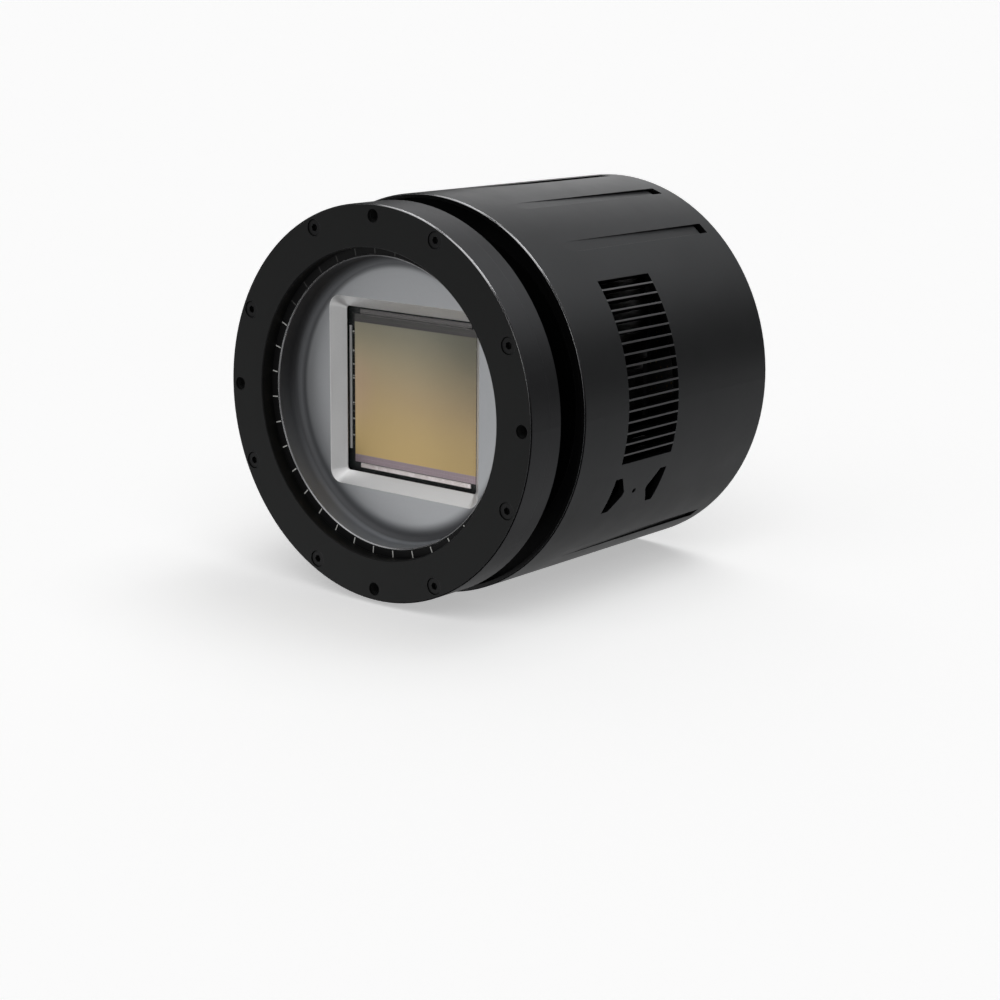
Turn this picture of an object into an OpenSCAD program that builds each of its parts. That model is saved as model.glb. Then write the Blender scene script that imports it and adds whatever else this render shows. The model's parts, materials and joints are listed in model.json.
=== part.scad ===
// Cooled astronomy camera with a large square sensor.
// The optical axis is +Y: the front flange face is at y = 0 and the rear cover is at y = body_end.
// +Z is up and the origin is the centre of the front flange face.

/* [Front flange] */
// Outer radius of the front flange
flange_r = 88; // [87:0.5:89]
// Thickness of the front flange ring
flange_t = 12.5; // [12:0.5:13]
// Chamfer on the outer front edges of the flange and the body shell
edge_cut = 0.5; // [0.3:0.1:1]
// Radius of the recess that receives an adapter
register_r = 69; // [68.5:0.25:69.5]
// Depth of the recess
register_depth = 6.8; // [6.6:0.1:7]
// Radius of the circle through all twelve front holes
bolt_circle_r = 82.8; // [82.5:0.1:83]
// Radius of the four tapped mounting holes (M6)
mount_hole_r = 3; // [2.5:0.1:3.2]

/* [Chamber] */
// Inner radius of the round chamber wall
chamber_r = 64.7; // [64:0.1:65]
// Depth of the chamber floor behind the front face
floor_y = 19; // [18.6:0.1:19.4]
// Width of the funnel where it leaves the floor
funnel_outer_w = 88; // [87:0.5:88.5]
// Height of the funnel where it leaves the floor
funnel_outer_h = 86.4; // [85.6:0.2:87]
// Width of the opening at the bottom of the funnel
funnel_inner_w = 76.8; // [76:0.2:77.2]
// Height of the opening at the bottom of the funnel
funnel_inner_h = 75.8; // [75:0.2:76.4]
// Radius of the dark neck between flange and body shell
neck_r = 76; // [75:0.5:78]

/* [Sensor] */
// Width of the sensor die
die_w = 72.2; // [71:0.2:73]
// Height of the sensor die
die_h = 68.6; // [68:0.2:69]
// Side of the window glass
window_w = 80; // [79.5:0.25:80.5]

/* [Body shell] */
// Outer radius of the body shell
shell_r = 90; // [89.7:0.1:90.5]
// Distance from the front face to the front edge of the shell
shell_y = 34.2; // [33:0.2:36]
// Distance from the front face to the rear end of the shell
body_end = 176; // [175.8:0.1:176.4]
// Number of vent slots on each side
vent_count = 17; // [10:1:17]
// Depth of each flute at its rear end
flute_depth = 1.4; // [1:0.1:1.8]

/* [Cooling] */
// Gap between neighbouring fins of the heat sink, centre to centre
fin_pitch = 5; // [4.5:0.5:6]
// Thickness of one fin
fin_t = 1.6; // [1.2:0.1:2]
// Number of fan blades
blade_count = 7; // [5:1:9]

/* [Hidden] */
$fn = 128;
eps = 0.01;
// Running and fitting clearance between neighbouring pieces
gap = 0.05;

// Front flange: four tapped holes on the axes and eight screws between them
mount_angles = [0, 90, 180, 270];
screw_angles = [for (a = [25, 65]) for (q = [a, 180 - a, 180 + a, 360 - a]) q];
pocket_r = 76;
m4_r = 2;
m4_head_r = 3.5;
m4_head_h = 4;
head_sink = 0.5;
counterbore_r = 3.8;
counterbore_depth = m4_head_h + head_sink;

// Graduated ring, captive between the flange lip and the chamber plate
scale_in_r = 65.7;
scale_y0 = register_depth + gap;
scale_t = 2.65;
mark_count = 36;
mark_w = 0.5;
mark_depth = 0.2;
mark_offset = 4.3;

// Chamber plate
rim_r = 65.6;
rim_cut = 0.5;
plate_y0 = scale_y0 + scale_t + gap;
skirt_r = 68;
floor_back = 22;
plate_fillet = 5;
funnel_outer_corner_r = 6;
funnel_inner_corner_r = 1.5;
funnel_y1 = 24.4;
lip_back = 24.8;
boss_back = 26.2;
boss_w = 92;
seal_t = 0.3;
glass_t = 1;
plate_screw_r = 72;
plate_screw_angles = [for (i = [0:7]) 22.5 + 45 * i];

// Chamber housing
bore_r = 68.2;
housing_flange_back = 20.5;
bulkhead_y0 = 46;
bulkhead_y1 = 54;
bulkhead_r = 87.9;

// Sensor stack
package_w = 92;
package_h = 88;
package_back = 31;
cavity_w = 82;
cavity_h = 78;
cavity_y = 27.7;
die_t = 0.8;
board_y0 = 32.6;
board_y1 = 34.2;
board_r = 63;
board_cut = 58;
standoff_r = 56;
finger_w = 46;
finger_y0 = 31.3;
finger_y1 = 40;
finger_base_y = 44;
finger_base_w = 64;
clamp_xy = 28;
tec_w = 50;
tec_plate_t = 0.8;
pellet_h = 1.6;
pellet_rows = 12;
pellet_w = 1.8;
pellet_pitch = 4;
tec_back = finger_base_y + 2 * tec_plate_t + pellet_h;

// Heat sink
sink_r = 77.5;
sink_y1 = 62;
fin_end = 144;
fin_clip_r = 70.8;
fin_clip_x = 52;
fin_half_count = 13;
sink_screw_r = 74.5;
feed_x = 60;
pedestal_w = 66;

// Body shell, posts and rear cover
shell_in_r = 87;
register_in_r = 88;
cover_y0 = 172;
cover_y1 = 175.6;
cover_r = 87.9;
post_angles = [65, 115, 245, 295];
post_r = 82.5;

// Fan
fan_y0 = 146.5;
fan_y1 = 171.9;
fan_w = 120;
fan_bore_r = 58;
fan_hole_xy = 52.5;
hub_r = 20;
blade_r = 56.5;
shaft_r = 1.5;
bearing_out_r = 4.5;
tube_out_r = 6;
bearing_y = [150, 158];
bearing_t = 4;

// Circuit boards on both sides of the fan
card_x = 66;
card_t = 1.6;
card_y0 = 112;
card_y1 = 168;
card_half = 46;
guide_x0 = 63.8;
guide_w = 6;
guide_z0 = 43.6;
guide_z1 = 50;
guide_screw_z = 48.2;

// --- Helpers -----------------------------------------------------------------------------------

// Turns local +Z into the optical axis, starting at depth y
module along(y = 0) { translate([0, y, 0]) rotate([-90, 0, 0]) children(); }

// Turns its children around the optical axis by a degrees, from +X towards +Z
module spin(a) { rotate([0, -a, 0]) children(); }

// Places its children at angle a and radius r around the optical axis
module at(a, r) { spin(a) translate([r, 0, 0]) children(); }

// Round bar along the optical axis from y0 to y1
module bar(r, y0, y1) { along(y0) cylinder(r = r, h = y1 - y0); }

// Bar with a hexagonal section; r is the radius of its corners
module hex_bar(r, y0, y1) { along(y0) cylinder(r = r, h = y1 - y0, $fn = 6); }

// Tube along the optical axis
module tube(r_out, r_in, y0, y1) {
    difference() {
        bar(r_out, y0, y1);
        bar(r_in, y0 - eps, y1 + eps);
    }
}

// Turned piece from an outline of [radius, depth] points
module turned(outline) { along() rotate_extrude() polygon(outline); }

// Block centred on the axis in X and Z, from y0 to y1
module block(w, h, y0, y1) { translate([-w / 2, y0, -h / 2]) cube([w, y1 - y0, h]); }

// Block with rounded corners, centred on the axis
module round_block(w, h, r, y0, y1) {
    along(y0) linear_extrude(y1 - y0) {
        square([w - 2 * r, h], center = true);
        square([w, h - 2 * r], center = true);
        for (sx = [-1, 1], sz = [-1, 1])
            translate([sx * (w / 2 - r), sz * (h / 2 - r)]) circle(r = r);
    }
}

// Toroidal sealing ring of radius r and section radius s at depth y
module o_ring(r, s, y) { along(y) rotate_extrude() translate([r, 0]) circle(r = s, $fn = 32); }

// Socket-head screw on the local axis: head from y0, shank to y1
module socket_screw(r, head_r, head_h, y0, y1) {
    difference() {
        union() {
            bar(head_r, y0, y0 + head_h);
            bar(r - gap, y0 + head_h - eps, y1);
        }
        hex_bar(head_r * 0.5, y0 - eps, y0 + head_h * 0.6);
    }
}

// Socket-head screw with its head at the rear: head from y1 backwards to the shank tip at y0
module rear_screw(r, head_r, head_h, y0, y1) {
    difference() {
        union() {
            bar(head_r, y1 - head_h, y1);
            bar(r - gap, y0, y1 - head_h + eps);
        }
        hex_bar(head_r * 0.5, y1 - head_h * 0.6, y1 + eps);
    }
}

// --- Front ---------------------------------------------------------------------------------------

module front_flange() {
    color("#2b2c2e") difference() {
        turned([
            [register_r + 0.4, 0], [flange_r - edge_cut, 0], [flange_r, edge_cut], [flange_r, flange_t],
            [pocket_r, flange_t], [pocket_r, register_depth], [register_r, register_depth],
            [register_r, 0.4]
        ]);
        for (a = mount_angles)
            at(a, bolt_circle_r) bar(mount_hole_r, -eps, flange_t + eps);
        for (a = screw_angles)
            at(a, bolt_circle_r) {
                bar(counterbore_r, -eps, counterbore_depth);
                bar(m4_r + 0.25, -eps, flange_t + eps);
            }
    }
}

module flange_screws() {
    color("#3a3b3d") for (a = screw_angles)
        at(a, bolt_circle_r) socket_screw(m4_r, m4_head_r, m4_head_h, head_sink, 19.5);
}

// One engraved line of the graduated ring, a depth h deep
module mark(h) {
    translate([scale_in_r + 0.1, scale_y0, -mark_w / 2])
        cube([register_r - scale_in_r - 0.2, h, mark_w]);
}

module scale_ring() {
    color("#202122") difference() {
        tube(pocket_r - gap, scale_in_r, scale_y0, scale_y0 + scale_t);
        for (i = [0:mark_count - 1])
            spin(mark_offset + i * 360 / mark_count)
                translate([0, -eps, 0]) mark(mark_depth + eps);
    }
}

module scale_marks() {
    color("#e8e8e4") for (i = [0:mark_count - 1])
        spin(mark_offset + i * 360 / mark_count) mark(mark_depth);
}

// --- Chamber plate and window --------------------------------------------------------------------

// Four-sided funnel from the chamber floor down to the window opening
module funnel() {
    hull() {
        round_block(funnel_outer_w, funnel_outer_h, funnel_outer_corner_r, floor_y - eps, floor_y,
            $fn = 32);
        round_block(funnel_inner_w, funnel_inner_h, funnel_inner_corner_r, funnel_y1, funnel_y1 + eps,
            $fn = 32);
    }
}

module chamber_plate() {
    fillet_steps = 8;
    color("#b4b6b8") difference() {
        union() {
            turned(concat(
                [[0, floor_y]],
                [for (i = [0:fillet_steps]) let (a = 90 * i / fillet_steps)
                    [chamber_r - plate_fillet * (1 - sin(a)), floor_y - plate_fillet * (1 - cos(a))]],
                [[chamber_r, register_depth + rim_cut], [chamber_r + rim_cut, register_depth],
                    [rim_r, register_depth],
                    [rim_r, plate_y0], [pocket_r - gap, plate_y0], [pocket_r - gap, flange_t],
                    [skirt_r, flange_t], [skirt_r, 15], [skirt_r - 1.5, 15], [skirt_r - 1.5, 17],
                    [skirt_r, 17], [skirt_r, floor_back], [0, floor_back]]
            ));
            round_block(boss_w, boss_w, 3, floor_back - eps, boss_back);
        }
        funnel();
        round_block(funnel_inner_w, funnel_inner_h, funnel_inner_corner_r, funnel_y1, lip_back + eps);
        round_block(window_w + 0.4, window_w + 0.4, 3.2, lip_back, boss_back + eps);
        for (a = plate_screw_angles)
            at(a, plate_screw_r) {
                bar(2.4, plate_y0 - eps, plate_y0 + 1.6);
                bar(1.4, plate_y0, flange_t + eps);
            }
        for (a = mount_angles)
            at(a, standoff_r) bar(1.25, floor_back - 2.5, floor_back + eps);
    }
}

module chamber_plate_screws() {
    color("#8c8e90") for (a = plate_screw_angles)
        at(a, plate_screw_r) socket_screw(1.25, 2.25, 1.5, plate_y0 + 0.05, 18);
}

module chamber_seal() { color("#141414") o_ring(67.35, 0.78, 16); }

module window_seal() {
    color("#1a1a1a") difference() {
        round_block(window_w, window_w, 3, lip_back, lip_back + seal_t);
        round_block(funnel_inner_w + 1, funnel_inner_h + 1, funnel_inner_corner_r, lip_back - eps,
            lip_back + seal_t + eps);
    }
}

module window_glass() {
    color("#cfe3ea", 0.3)
        round_block(window_w, window_w, 3, lip_back + seal_t, lip_back + seal_t + glass_t);
}

// --- Sensor --------------------------------------------------------------------------------------

module sensor_package() {
    color("#18181a") difference() {
        round_block(package_w, package_h, 1.5, boss_back, package_back);
        round_block(cavity_w, cavity_h, 1, boss_back - eps, cavity_y);
    }
}

module sensor_die() { color("#9c8a66") block(die_w, die_h, cavity_y - die_t, cavity_y); }

module bond_strips() {
    color("#d8d2d0") {
        for (s = [-1, 1]) {
            translate([0, 0, s * (die_h / 2 + 1.3)]) block(65.6, 2, cavity_y - 0.5, cavity_y);
            translate([s * (die_w / 2 + 2.9), 0, 0]) block(1.3, 57, cavity_y - 0.5, cavity_y);
        }
    }
}

module bond_pads() {
    rows = 44;
    pitch = 1.26;
    color("#c9b98a") for (s = [-1, 1], i = [0:rows - 1])
        translate([s * (die_w / 2 + 1.2), 0, (i - (rows - 1) / 2) * pitch])
            block(1, 0.7, cavity_y - 0.3, cavity_y);
}

module sensor_socket() {
    color("#2a2a2e") difference() {
        round_block(package_w, package_h, 1.5, package_back, board_y0);
        block(board_cut, board_cut, package_back - eps, board_y0 + eps);
    }
}

module sensor_board() {
    color("#1f4a35") difference() {
        bar(board_r, board_y0, board_y1);
        block(board_cut, board_cut, board_y0 - eps, board_y1 + eps);
        for (a = mount_angles)
            at(a, standoff_r) bar(1.4, board_y0 - eps, board_y1 + eps);
    }
}

module sensor_chips() {
    color("#17181a") for (a = [0, 90, 180, 270], s = [-1, 1])
        spin(a) translate([43, board_y1, s * 14 - 5]) cube([10, 1.2, 10]);
}

module sensor_standoffs() {
    color("#b9a15a") for (a = mount_angles)
        at(a, standoff_r) {
            difference() {
                hex_bar(2.9, floor_back, board_y0);
                bar(1.25, board_y0 - 5, board_y0 + eps);
            }
            bar(1.2, floor_back - 2.4, floor_back + eps);
        }
}

module sensor_board_screws() {
    color("#9a9c9e") for (a = mount_angles)
        at(a, standoff_r) rear_screw(1.25, 2.25, 1.6, board_y0 - 4, board_y1 + 1.6);
}

// Flat strips from the rear of the sensor board to the sealed connectors
module sensor_flex() {
    color("#a5682a") for (s = [-1, 1])
        translate([s * 59.8 - 0.15, board_y1, -8]) cube([0.3, 52 - board_y1, 16]);
}

// --- Cooler --------------------------------------------------------------------------------------

module thermal_pad() { color("#6f6f74") block(finger_w, finger_w, package_back, finger_y0); }

module cold_finger() {
    color("#b5703c") difference() {
        union() {
            block(finger_w, finger_w, finger_y0, finger_y1 + eps);
            block(finger_base_w, finger_base_w, finger_y1, finger_base_y);
        }
        for (sx = [-1, 1], sz = [-1, 1])
            translate([sx * clamp_xy, 0, sz * clamp_xy])
                bar(1.9, finger_y1 - eps, finger_base_y + eps);
    }
}

module clamp_washers() {
    color("#e6e2d4") for (sx = [-1, 1], sz = [-1, 1])
        translate([sx * clamp_xy, 0, sz * clamp_xy]) tube(3, 1.6, finger_y1 - 0.6, finger_y1);
}

module clamp_screws() {
    color("#8c8e90") for (sx = [-1, 1], sz = [-1, 1])
        translate([sx * clamp_xy, 0, sz * clamp_xy])
            socket_screw(1.5, 2.75, 3, finger_y1 - 3.6, 53);
}

module tec_cold_plate() {
    color("#ecebe6") block(tec_w, tec_w, finger_base_y, finger_base_y + tec_plate_t);
}

module tec_pellets() {
    y0 = finger_base_y + tec_plate_t;
    mid = (pellet_rows - 1) / 2;
    color("#77787c") for (i = [0:pellet_rows - 1], j = [0:pellet_rows - 1])
        translate([(i - mid) * pellet_pitch, 0, (j - mid) * pellet_pitch])
            block(pellet_w, pellet_w, y0, y0 + pellet_h);
}

module tec_hot_plate() { color("#ecebe6") block(tec_w, tec_w, tec_back - tec_plate_t, tec_back); }

module insulation_ring() {
    color("#3b3b3b") difference() {
        bar(54, 36.8, bulkhead_y1 - 0.1);
        block(68, 68, 36.8 - eps, bulkhead_y1);
    }
}

// --- Chamber housing -----------------------------------------------------------------------------

module chamber_housing() {
    color("#1c1d1f") difference() {
        turned([
            [bore_r, flange_t], [flange_r, flange_t], [flange_r, housing_flange_back - 0.8],
            [flange_r - 0.8, housing_flange_back], [neck_r, housing_flange_back],
            [neck_r, bulkhead_y0], [bulkhead_r, bulkhead_y0], [bulkhead_r, bulkhead_y1],
            [71.6, bulkhead_y1], [71.6, bulkhead_y1 - 1.5], [69.2, bulkhead_y1 - 1.5],
            [69.2, bulkhead_y1], [bore_r, bulkhead_y1]
        ]);
        for (a = screw_angles)
            at(a, bolt_circle_r) bar(m4_r, flange_t - eps, 19.7);
        for (a = plate_screw_angles)
            at(a, plate_screw_r) bar(1.25, flange_t - eps, 18.5);
        for (i = [0:7])
            at(45 * i, sink_screw_r) bar(1.5, bulkhead_y1 - 7, bulkhead_y1 + eps);
        for (a = post_angles)
            at(a, post_r) bar(m4_r, bulkhead_y1 - 7, bulkhead_y1 + eps);
        purge_hole();
    }
}

// Stepped radial hole at the bottom of the neck, for the purge plug
module purge_hole() {
    translate([0, 33, 0]) rotate([180, 0, 0]) {
        translate([0, 0, bore_r - 2]) cylinder(r = 2.5, h = 12);
        translate([0, 0, neck_r - 3]) cylinder(r = 5, h = 5);
    }
}

module purge_plug() {
    color("#9a9c9e") translate([0, 33, 0]) rotate([180, 0, 0]) difference() {
        union() {
            translate([0, 0, bore_r + 1]) cylinder(r = 2.5 - gap, h = 6);
            translate([0, 0, neck_r - 2]) cylinder(r = 4.5, h = 2.5);
        }
        translate([0, 0, neck_r - 1]) cylinder(r = 1.8, h = 3, $fn = 6);
    }
}

module purge_seal() {
    color("#141414") translate([0, 33, 0]) rotate([180, 0, 0])
        translate([0, 0, neck_r - 2.5]) rotate_extrude() translate([3.6, 0]) circle(r = 0.45, $fn = 32);
}

module rear_chamber_seal() { color("#141414") o_ring(70.4, 0.73, bulkhead_y1 - 0.75); }

// --- Heat sink -----------------------------------------------------------------------------------

module heat_sink() {
    color("#8f9194") difference() {
        union() {
            bar(sink_r, bulkhead_y1, sink_y1);
            block(pedestal_w, pedestal_w, tec_back, bulkhead_y1 + eps);
            intersection() {
                bar(fin_clip_r, sink_y1 - eps, fin_end);
                for (i = [-fin_half_count:fin_half_count])
                    translate([0, 0, i * fin_pitch])
                        block(2 * fin_clip_x, fin_t, sink_y1 - eps, fin_end);
            }
        }
        for (i = [0:7])
            at(45 * i, sink_screw_r) bar(1.7, bulkhead_y1 - eps, sink_y1 + eps);
        for (s = [-1, 1])
            translate([s * feed_x, 0, 0]) block(9, 25, bulkhead_y1 - eps, sink_y1 + eps);
        for (sx = [-1, 1], sz = [-1, 1])
            translate([sx * clamp_xy, 0, sz * clamp_xy]) bar(1.5, tec_back - eps, 54);
    }
}

module heat_sink_screws() {
    color("#8c8e90") for (i = [0:7])
        at(45 * i, sink_screw_r) rear_screw(1.5, 2.75, 3, 48, sink_y1 + 3);
}

// Sealed connectors through the base of the heat sink
module feedthroughs() {
    color("#3a3a30") for (s = [-1, 1]) translate([s * feed_x, 0, 0]) block(8.8, 24.8, 52, 67);
}

// Ribbon cables from the sealed connectors to the two circuit boards
module ribbon_cables() {
    t = 0.5;
    x0 = feed_x;
    x1 = card_x - 2.6;
    path = [[x0, 67], [x0, 100], [x1, 106], [x1, card_y0 + 2]];
    outline = concat(path, [for (i = [3:-1:0]) path[i] + [t, 0]]);
    color("#5b5d60") for (s = [0, 1]) mirror([s, 0, 0])
        translate([0, 0, -10]) linear_extrude(20) polygon(outline);
}

// --- Body shell ----------------------------------------------------------------------------------

module support_posts() {
    color("#9a9c9e") for (a = post_angles)
        at(a, post_r) {
            difference() {
                bar(4, bulkhead_y1, cover_y0);
                bar(m4_r, cover_y0 - 12, cover_y0 + eps);
            }
            bar(m4_r - gap, bulkhead_y1 - 6.5, bulkhead_y1 + eps);
        }
}

// Vent slots: a column of narrow windows on one side
vent_y0 = 65.6;
vent_y1 = 103.4;
vent_pitch = 3.165;
vent_w = 4.15;
vent_mid = 10.9;
module vents() {
    for (i = [0:vent_count - 1])
        spin(vent_mid + (i - (vent_count - 1) / 2) * vent_pitch)
            translate([shell_in_r - 4, vent_y0, -vent_w / 2]) cube([10, vent_y1 - vent_y0, vent_w]);
}

// Outline of one D-shaped window: flat end at 0, rounded tip at window_len
d_half = 9.2;
d_flat = 4.8;
d_len = 10.5;
d_tip_r = 3.2;
module d_outline() {
    tip = d_len - d_tip_r;
    polygon(concat(
        [[0, -d_half], [0, d_half], [d_flat, d_half]],
        [for (a = [50:-10:-50]) [tip + d_tip_r * cos(a), d_tip_r * sin(a)]],
        [[d_flat, -d_half]]
    ));
}

// Two D-shaped windows that point at each other, with a small hole between them
d_angle = -26.3;
pin_hole_r = 1.25;
module side_windows() {
    spin(d_angle) translate([shell_in_r - 4, 0, 0]) rotate([0, 90, 0]) rotate([0, 0, 90]) {
        translate([vent_y0 - 0.5, 0, 0]) linear_extrude(10) d_outline();
        translate([vent_y1, 0, 0]) mirror([1, 0, 0]) linear_extrude(10) d_outline();
        translate([(vent_y0 + vent_y1) / 2 - 0.9, 0, 0]) cylinder(r = pin_hole_r, h = 10, $fn = 32);
    }
}

// Shallow flute whose floor drops from the surface to flute_depth, with a slot through the wall
flute_w = 6;
flute_y0 = 60;
flute_y1 = 166.8;
flute_slot = 3.6;
flute_angles = [50, 70, 90, 110, 130, -50, -70, -90, -110, -130];
module flute() {
    slope = atan(flute_depth / (flute_y1 - flute_y0));
    translate([shell_r, flute_y0, -flute_w / 2])
        rotate([0, 0, slope]) cube([5, (flute_y1 - flute_y0) / cos(slope), flute_w]);
    translate([shell_in_r - 4, flute_y1 - flute_slot, -flute_w / 2]) cube([10, flute_slot, flute_w]);
}

module body_shell() {
    color("#3c3e41") difference() {
        turned([
            [register_in_r, shell_y], [shell_r - edge_cut, shell_y], [shell_r, shell_y + edge_cut],
            [shell_r, body_end - 0.8], [shell_r - 0.8, body_end], [register_in_r, body_end],
            [register_in_r, cover_y0], [shell_in_r, cover_y0], [shell_in_r, bulkhead_y1],
            [register_in_r, bulkhead_y1]
        ]);
        for (s = [0, 1]) mirror([s, 0, 0]) {
            vents();
            side_windows();
        }
        for (a = flute_angles) spin(a) flute();
    }
}

// --- Rear cover ----------------------------------------------------------------------------------

// Sockets in the rear cover: [x, z] of each centre
data_at = [73.1, 26];
fibre_at = [72.2, 4];
sync_at = [[72.2, -16], [72.2, -30]];
lamp_at = [72.2, 39];
power_at = [-74.8, 20];
aux_at = [-73.2, -14];
power_r = 7;
aux_r = 5.5;
sync_r = 3.2;
lamp_r = 1.5;

module rear_cover() {
    rings = [13, 22.5, 32, 41.5, 51];
    ring_w = 6;
    spoke_w = 3;
    color("#303234") difference() {
        bar(cover_r, cover_y0, cover_y1);
        difference() {
            for (r = rings) tube(r + ring_w, r, cover_y0 - eps, cover_y1 + eps);
            for (a = [0, 45, 90, 135])
                spin(a) block(2 * blade_r + 10, spoke_w, cover_y0 - 1, cover_y1 + 1);
        }
        for (sx = [-1, 1], sz = [-1, 1])
            translate([sx * fan_hole_xy, 0, sz * fan_hole_xy]) {
                bar(m4_r + 0.25, cover_y0 - eps, cover_y1 + eps);
                bar(counterbore_r, cover_y1 - 2.2, cover_y1 + eps);
            }
        for (a = post_angles)
            at(a, post_r) {
                bar(m4_r + 0.25, cover_y0 - eps, cover_y1 + eps);
                bar(counterbore_r, cover_y1 - 2.2, cover_y1 + eps);
            }
        for (sx = [-1, 1], sz = [-1, 1])
            translate([sx * (guide_x0 + guide_w / 2), 0, sz * guide_screw_z]) {
                bar(1.2, cover_y0 - eps, cover_y1 + eps);
                bar(2.1, cover_y1 - 1.5, cover_y1 + eps);
            }
        translate([data_at.x, 0, data_at.y]) block(11.4, 12.6, cover_y0 - eps, cover_y1 + eps);
        translate([fibre_at.x, 0, fibre_at.y]) block(9.1, 19, cover_y0 - eps, cover_y1 + eps);
        for (p = sync_at)
            translate([p.x, 0, p.y]) bar(sync_r + gap, cover_y0 - eps, cover_y1 + eps);
        translate([lamp_at.x, 0, lamp_at.y]) bar(lamp_r + gap, cover_y0 - eps, cover_y1 + eps);
        translate([power_at.x, 0, power_at.y]) bar(power_r + gap, cover_y0 - eps, cover_y1 + eps);
        translate([aux_at.x, 0, aux_at.y]) bar(aux_r + gap, cover_y0 - eps, cover_y1 + eps);
    }
}

module rear_cover_screws() {
    color("#3a3b3d") for (a = post_angles)
        at(a, post_r) rear_screw(m4_r, m4_head_r, 2.1, cover_y0 - 8, cover_y1 - 0.1);
}

// Hollow box that opens to the rear: the metal shell of a rectangular socket
module socket_box(w, h, y0, y1, wall, depth) {
    difference() {
        block(w, h, y0, y1);
        block(w - 2 * wall, h - 2 * wall, y1 - depth, y1 + eps);
    }
}

module data_socket() {
    color("#b9bbbd") translate([data_at.x, 0, data_at.y]) {
        socket_box(11, 12.2, 158, cover_y1 + 0.3, 0.8, 8);
        block(5.4, 6, 166, cover_y1 - 2);
    }
}

module fibre_socket() {
    color("#a9abad") translate([fibre_at.x, 0, fibre_at.y])
        socket_box(8.7, 18.6, 140, cover_y1 + 0.3, 0.6, 30);
}

module sync_sockets() {
    color("#c9a84e") for (p = sync_at)
        translate([p.x, 0, p.y]) {
            difference() {
                bar(sync_r, 164, cover_y1 + 5);
                bar(2.3, cover_y1 - 2, cover_y1 + 5 + eps);
            }
            bar(0.5, cover_y1 - 2 - eps, cover_y1 + 3);
        }
}

// Round locking socket with a threaded barrel and contact pins
module round_socket(r, pins, pin_circle) {
    difference() {
        bar(r, 160, cover_y1 + 3);
        bar(r - 1.2, cover_y1 - 4, cover_y1 + 3 + eps);
    }
    for (i = [0:pins - 1])
        at(45 + i * 360 / pins, pin_circle) bar(0.5, cover_y1 - 4 - eps, cover_y1 + 1.5);
}

module power_socket() {
    color("#8c8e90") translate([power_at.x, 0, power_at.y]) round_socket(power_r, 4, 3);
}

module aux_socket() {
    color("#8c8e90") translate([aux_at.x, 0, aux_at.y]) round_socket(aux_r, 6, 2.4);
}

module status_lamp() {
    color("#7fd67f") translate([lamp_at.x, 0, lamp_at.y]) bar(lamp_r, 164, cover_y1 + 0.2);
}

// --- Fan -----------------------------------------------------------------------------------------

module fan_frame() {
    plate_t = 4;
    hub_back = 149.5;
    color("#1d1e20") difference() {
        union() {
            difference() {
                union() {
                    round_block(fan_w, fan_w, 5, fan_y0, fan_y0 + plate_t);
                    round_block(fan_w, fan_w, 5, fan_y1 - plate_t, fan_y1);
                    bar(60, fan_y0, fan_y1);
                    for (sx = [-1, 1], sz = [-1, 1])
                        translate([sx * fan_hole_xy, 0, sz * fan_hole_xy]) bar(4, fan_y0, fan_y1);
                }
                bar(fan_bore_r, fan_y0 - eps, fan_y1 + eps);
            }
            bar(19.5, fan_y0, hub_back);
            for (a = [0, 90, 180, 270])
                spin(a) translate([0, fan_y0, -2]) cube([fan_bore_r + 1, 3, 4]);
            bar(tube_out_r, fan_y0, bearing_y[1] + bearing_t + 0.5);
        }
        bar(bearing_out_r, fan_y0 + 2.5, fan_y1);
        for (sx = [-1, 1], sz = [-1, 1])
            translate([sx * fan_hole_xy, 0, sz * fan_hole_xy]) bar(m4_r, fan_y0 - eps, fan_y1 + eps);
    }
}

// Laminated core with four wound poles, pressed on the bearing tube
module fan_stator() {
    color("#9d6b3c") {
        tube(9, tube_out_r, 151, 160);
        for (a = [0, 90, 180, 270])
            spin(a) {
                translate([8.5, 152, -2.5]) cube([4.5, 7, 5]);
                intersection() {
                    tube(15.6, 12.5, 151, 160);
                    translate([8, 151, -7]) cube([10, 9, 14]);
                }
            }
    }
}

module fan_bearings() {
    color("#b9bbbd") for (y = bearing_y) tube(bearing_out_r, shaft_r + gap, y, y + bearing_t);
}

module fan_shaft() { color("#c4c6c8") bar(shaft_r, 149.3, 166); }

module fan_rotor() {
    color("#26272a") {
        difference() {
            union() {
                bar(hub_r, 164, 167);
                tube(hub_r, 18.2, 150.2, 164 + eps);
                bar(3.2, 163.2, 164 + eps);
            }
            bar(shaft_r, 163, 166);
        }
        for (i = [0:blade_count - 1]) fan_blade(i * 360 / blade_count);
    }
    color("#505256") tube(18.2, 16.4, 150.8, 162.5);
}

// Pitched blade between the hub and the duct
module fan_blade(a) {
    pitch = 48;
    intersection() {
        tube(blade_r, hub_r - 0.6, 150.4, 168.6);
        spin(a) translate([hub_r - 3, 159.5, 0]) rotate([pitch, 0, 0])
            translate([0, -14, -0.8]) cube([blade_r, 28, 1.6]);
    }
}

module fan_screws() {
    color("#3a3b3d") for (sx = [-1, 1], sz = [-1, 1])
        translate([sx * fan_hole_xy, 0, sz * fan_hole_xy])
            rear_screw(m4_r, m4_head_r, 2.1, 158, cover_y1 - 0.1);
}

// --- Circuit boards ------------------------------------------------------------------------------

// Board in the YZ plane that slides into two guides
module card() { translate([card_x, card_y0, -card_half]) cube([card_t, card_y1 - card_y0, 2 * card_half]); }

module main_board() { color("#1f4a35") card(); }

module power_board() { color("#1f4a35") mirror([1, 0, 0]) card(); }

// Part on the inner face of a board: centre [y, z], size along y, z and height
module chip(y, z, w, h, t) { translate([card_x - t, y - w / 2, z - h / 2]) cube([t, w, h]); }

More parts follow.
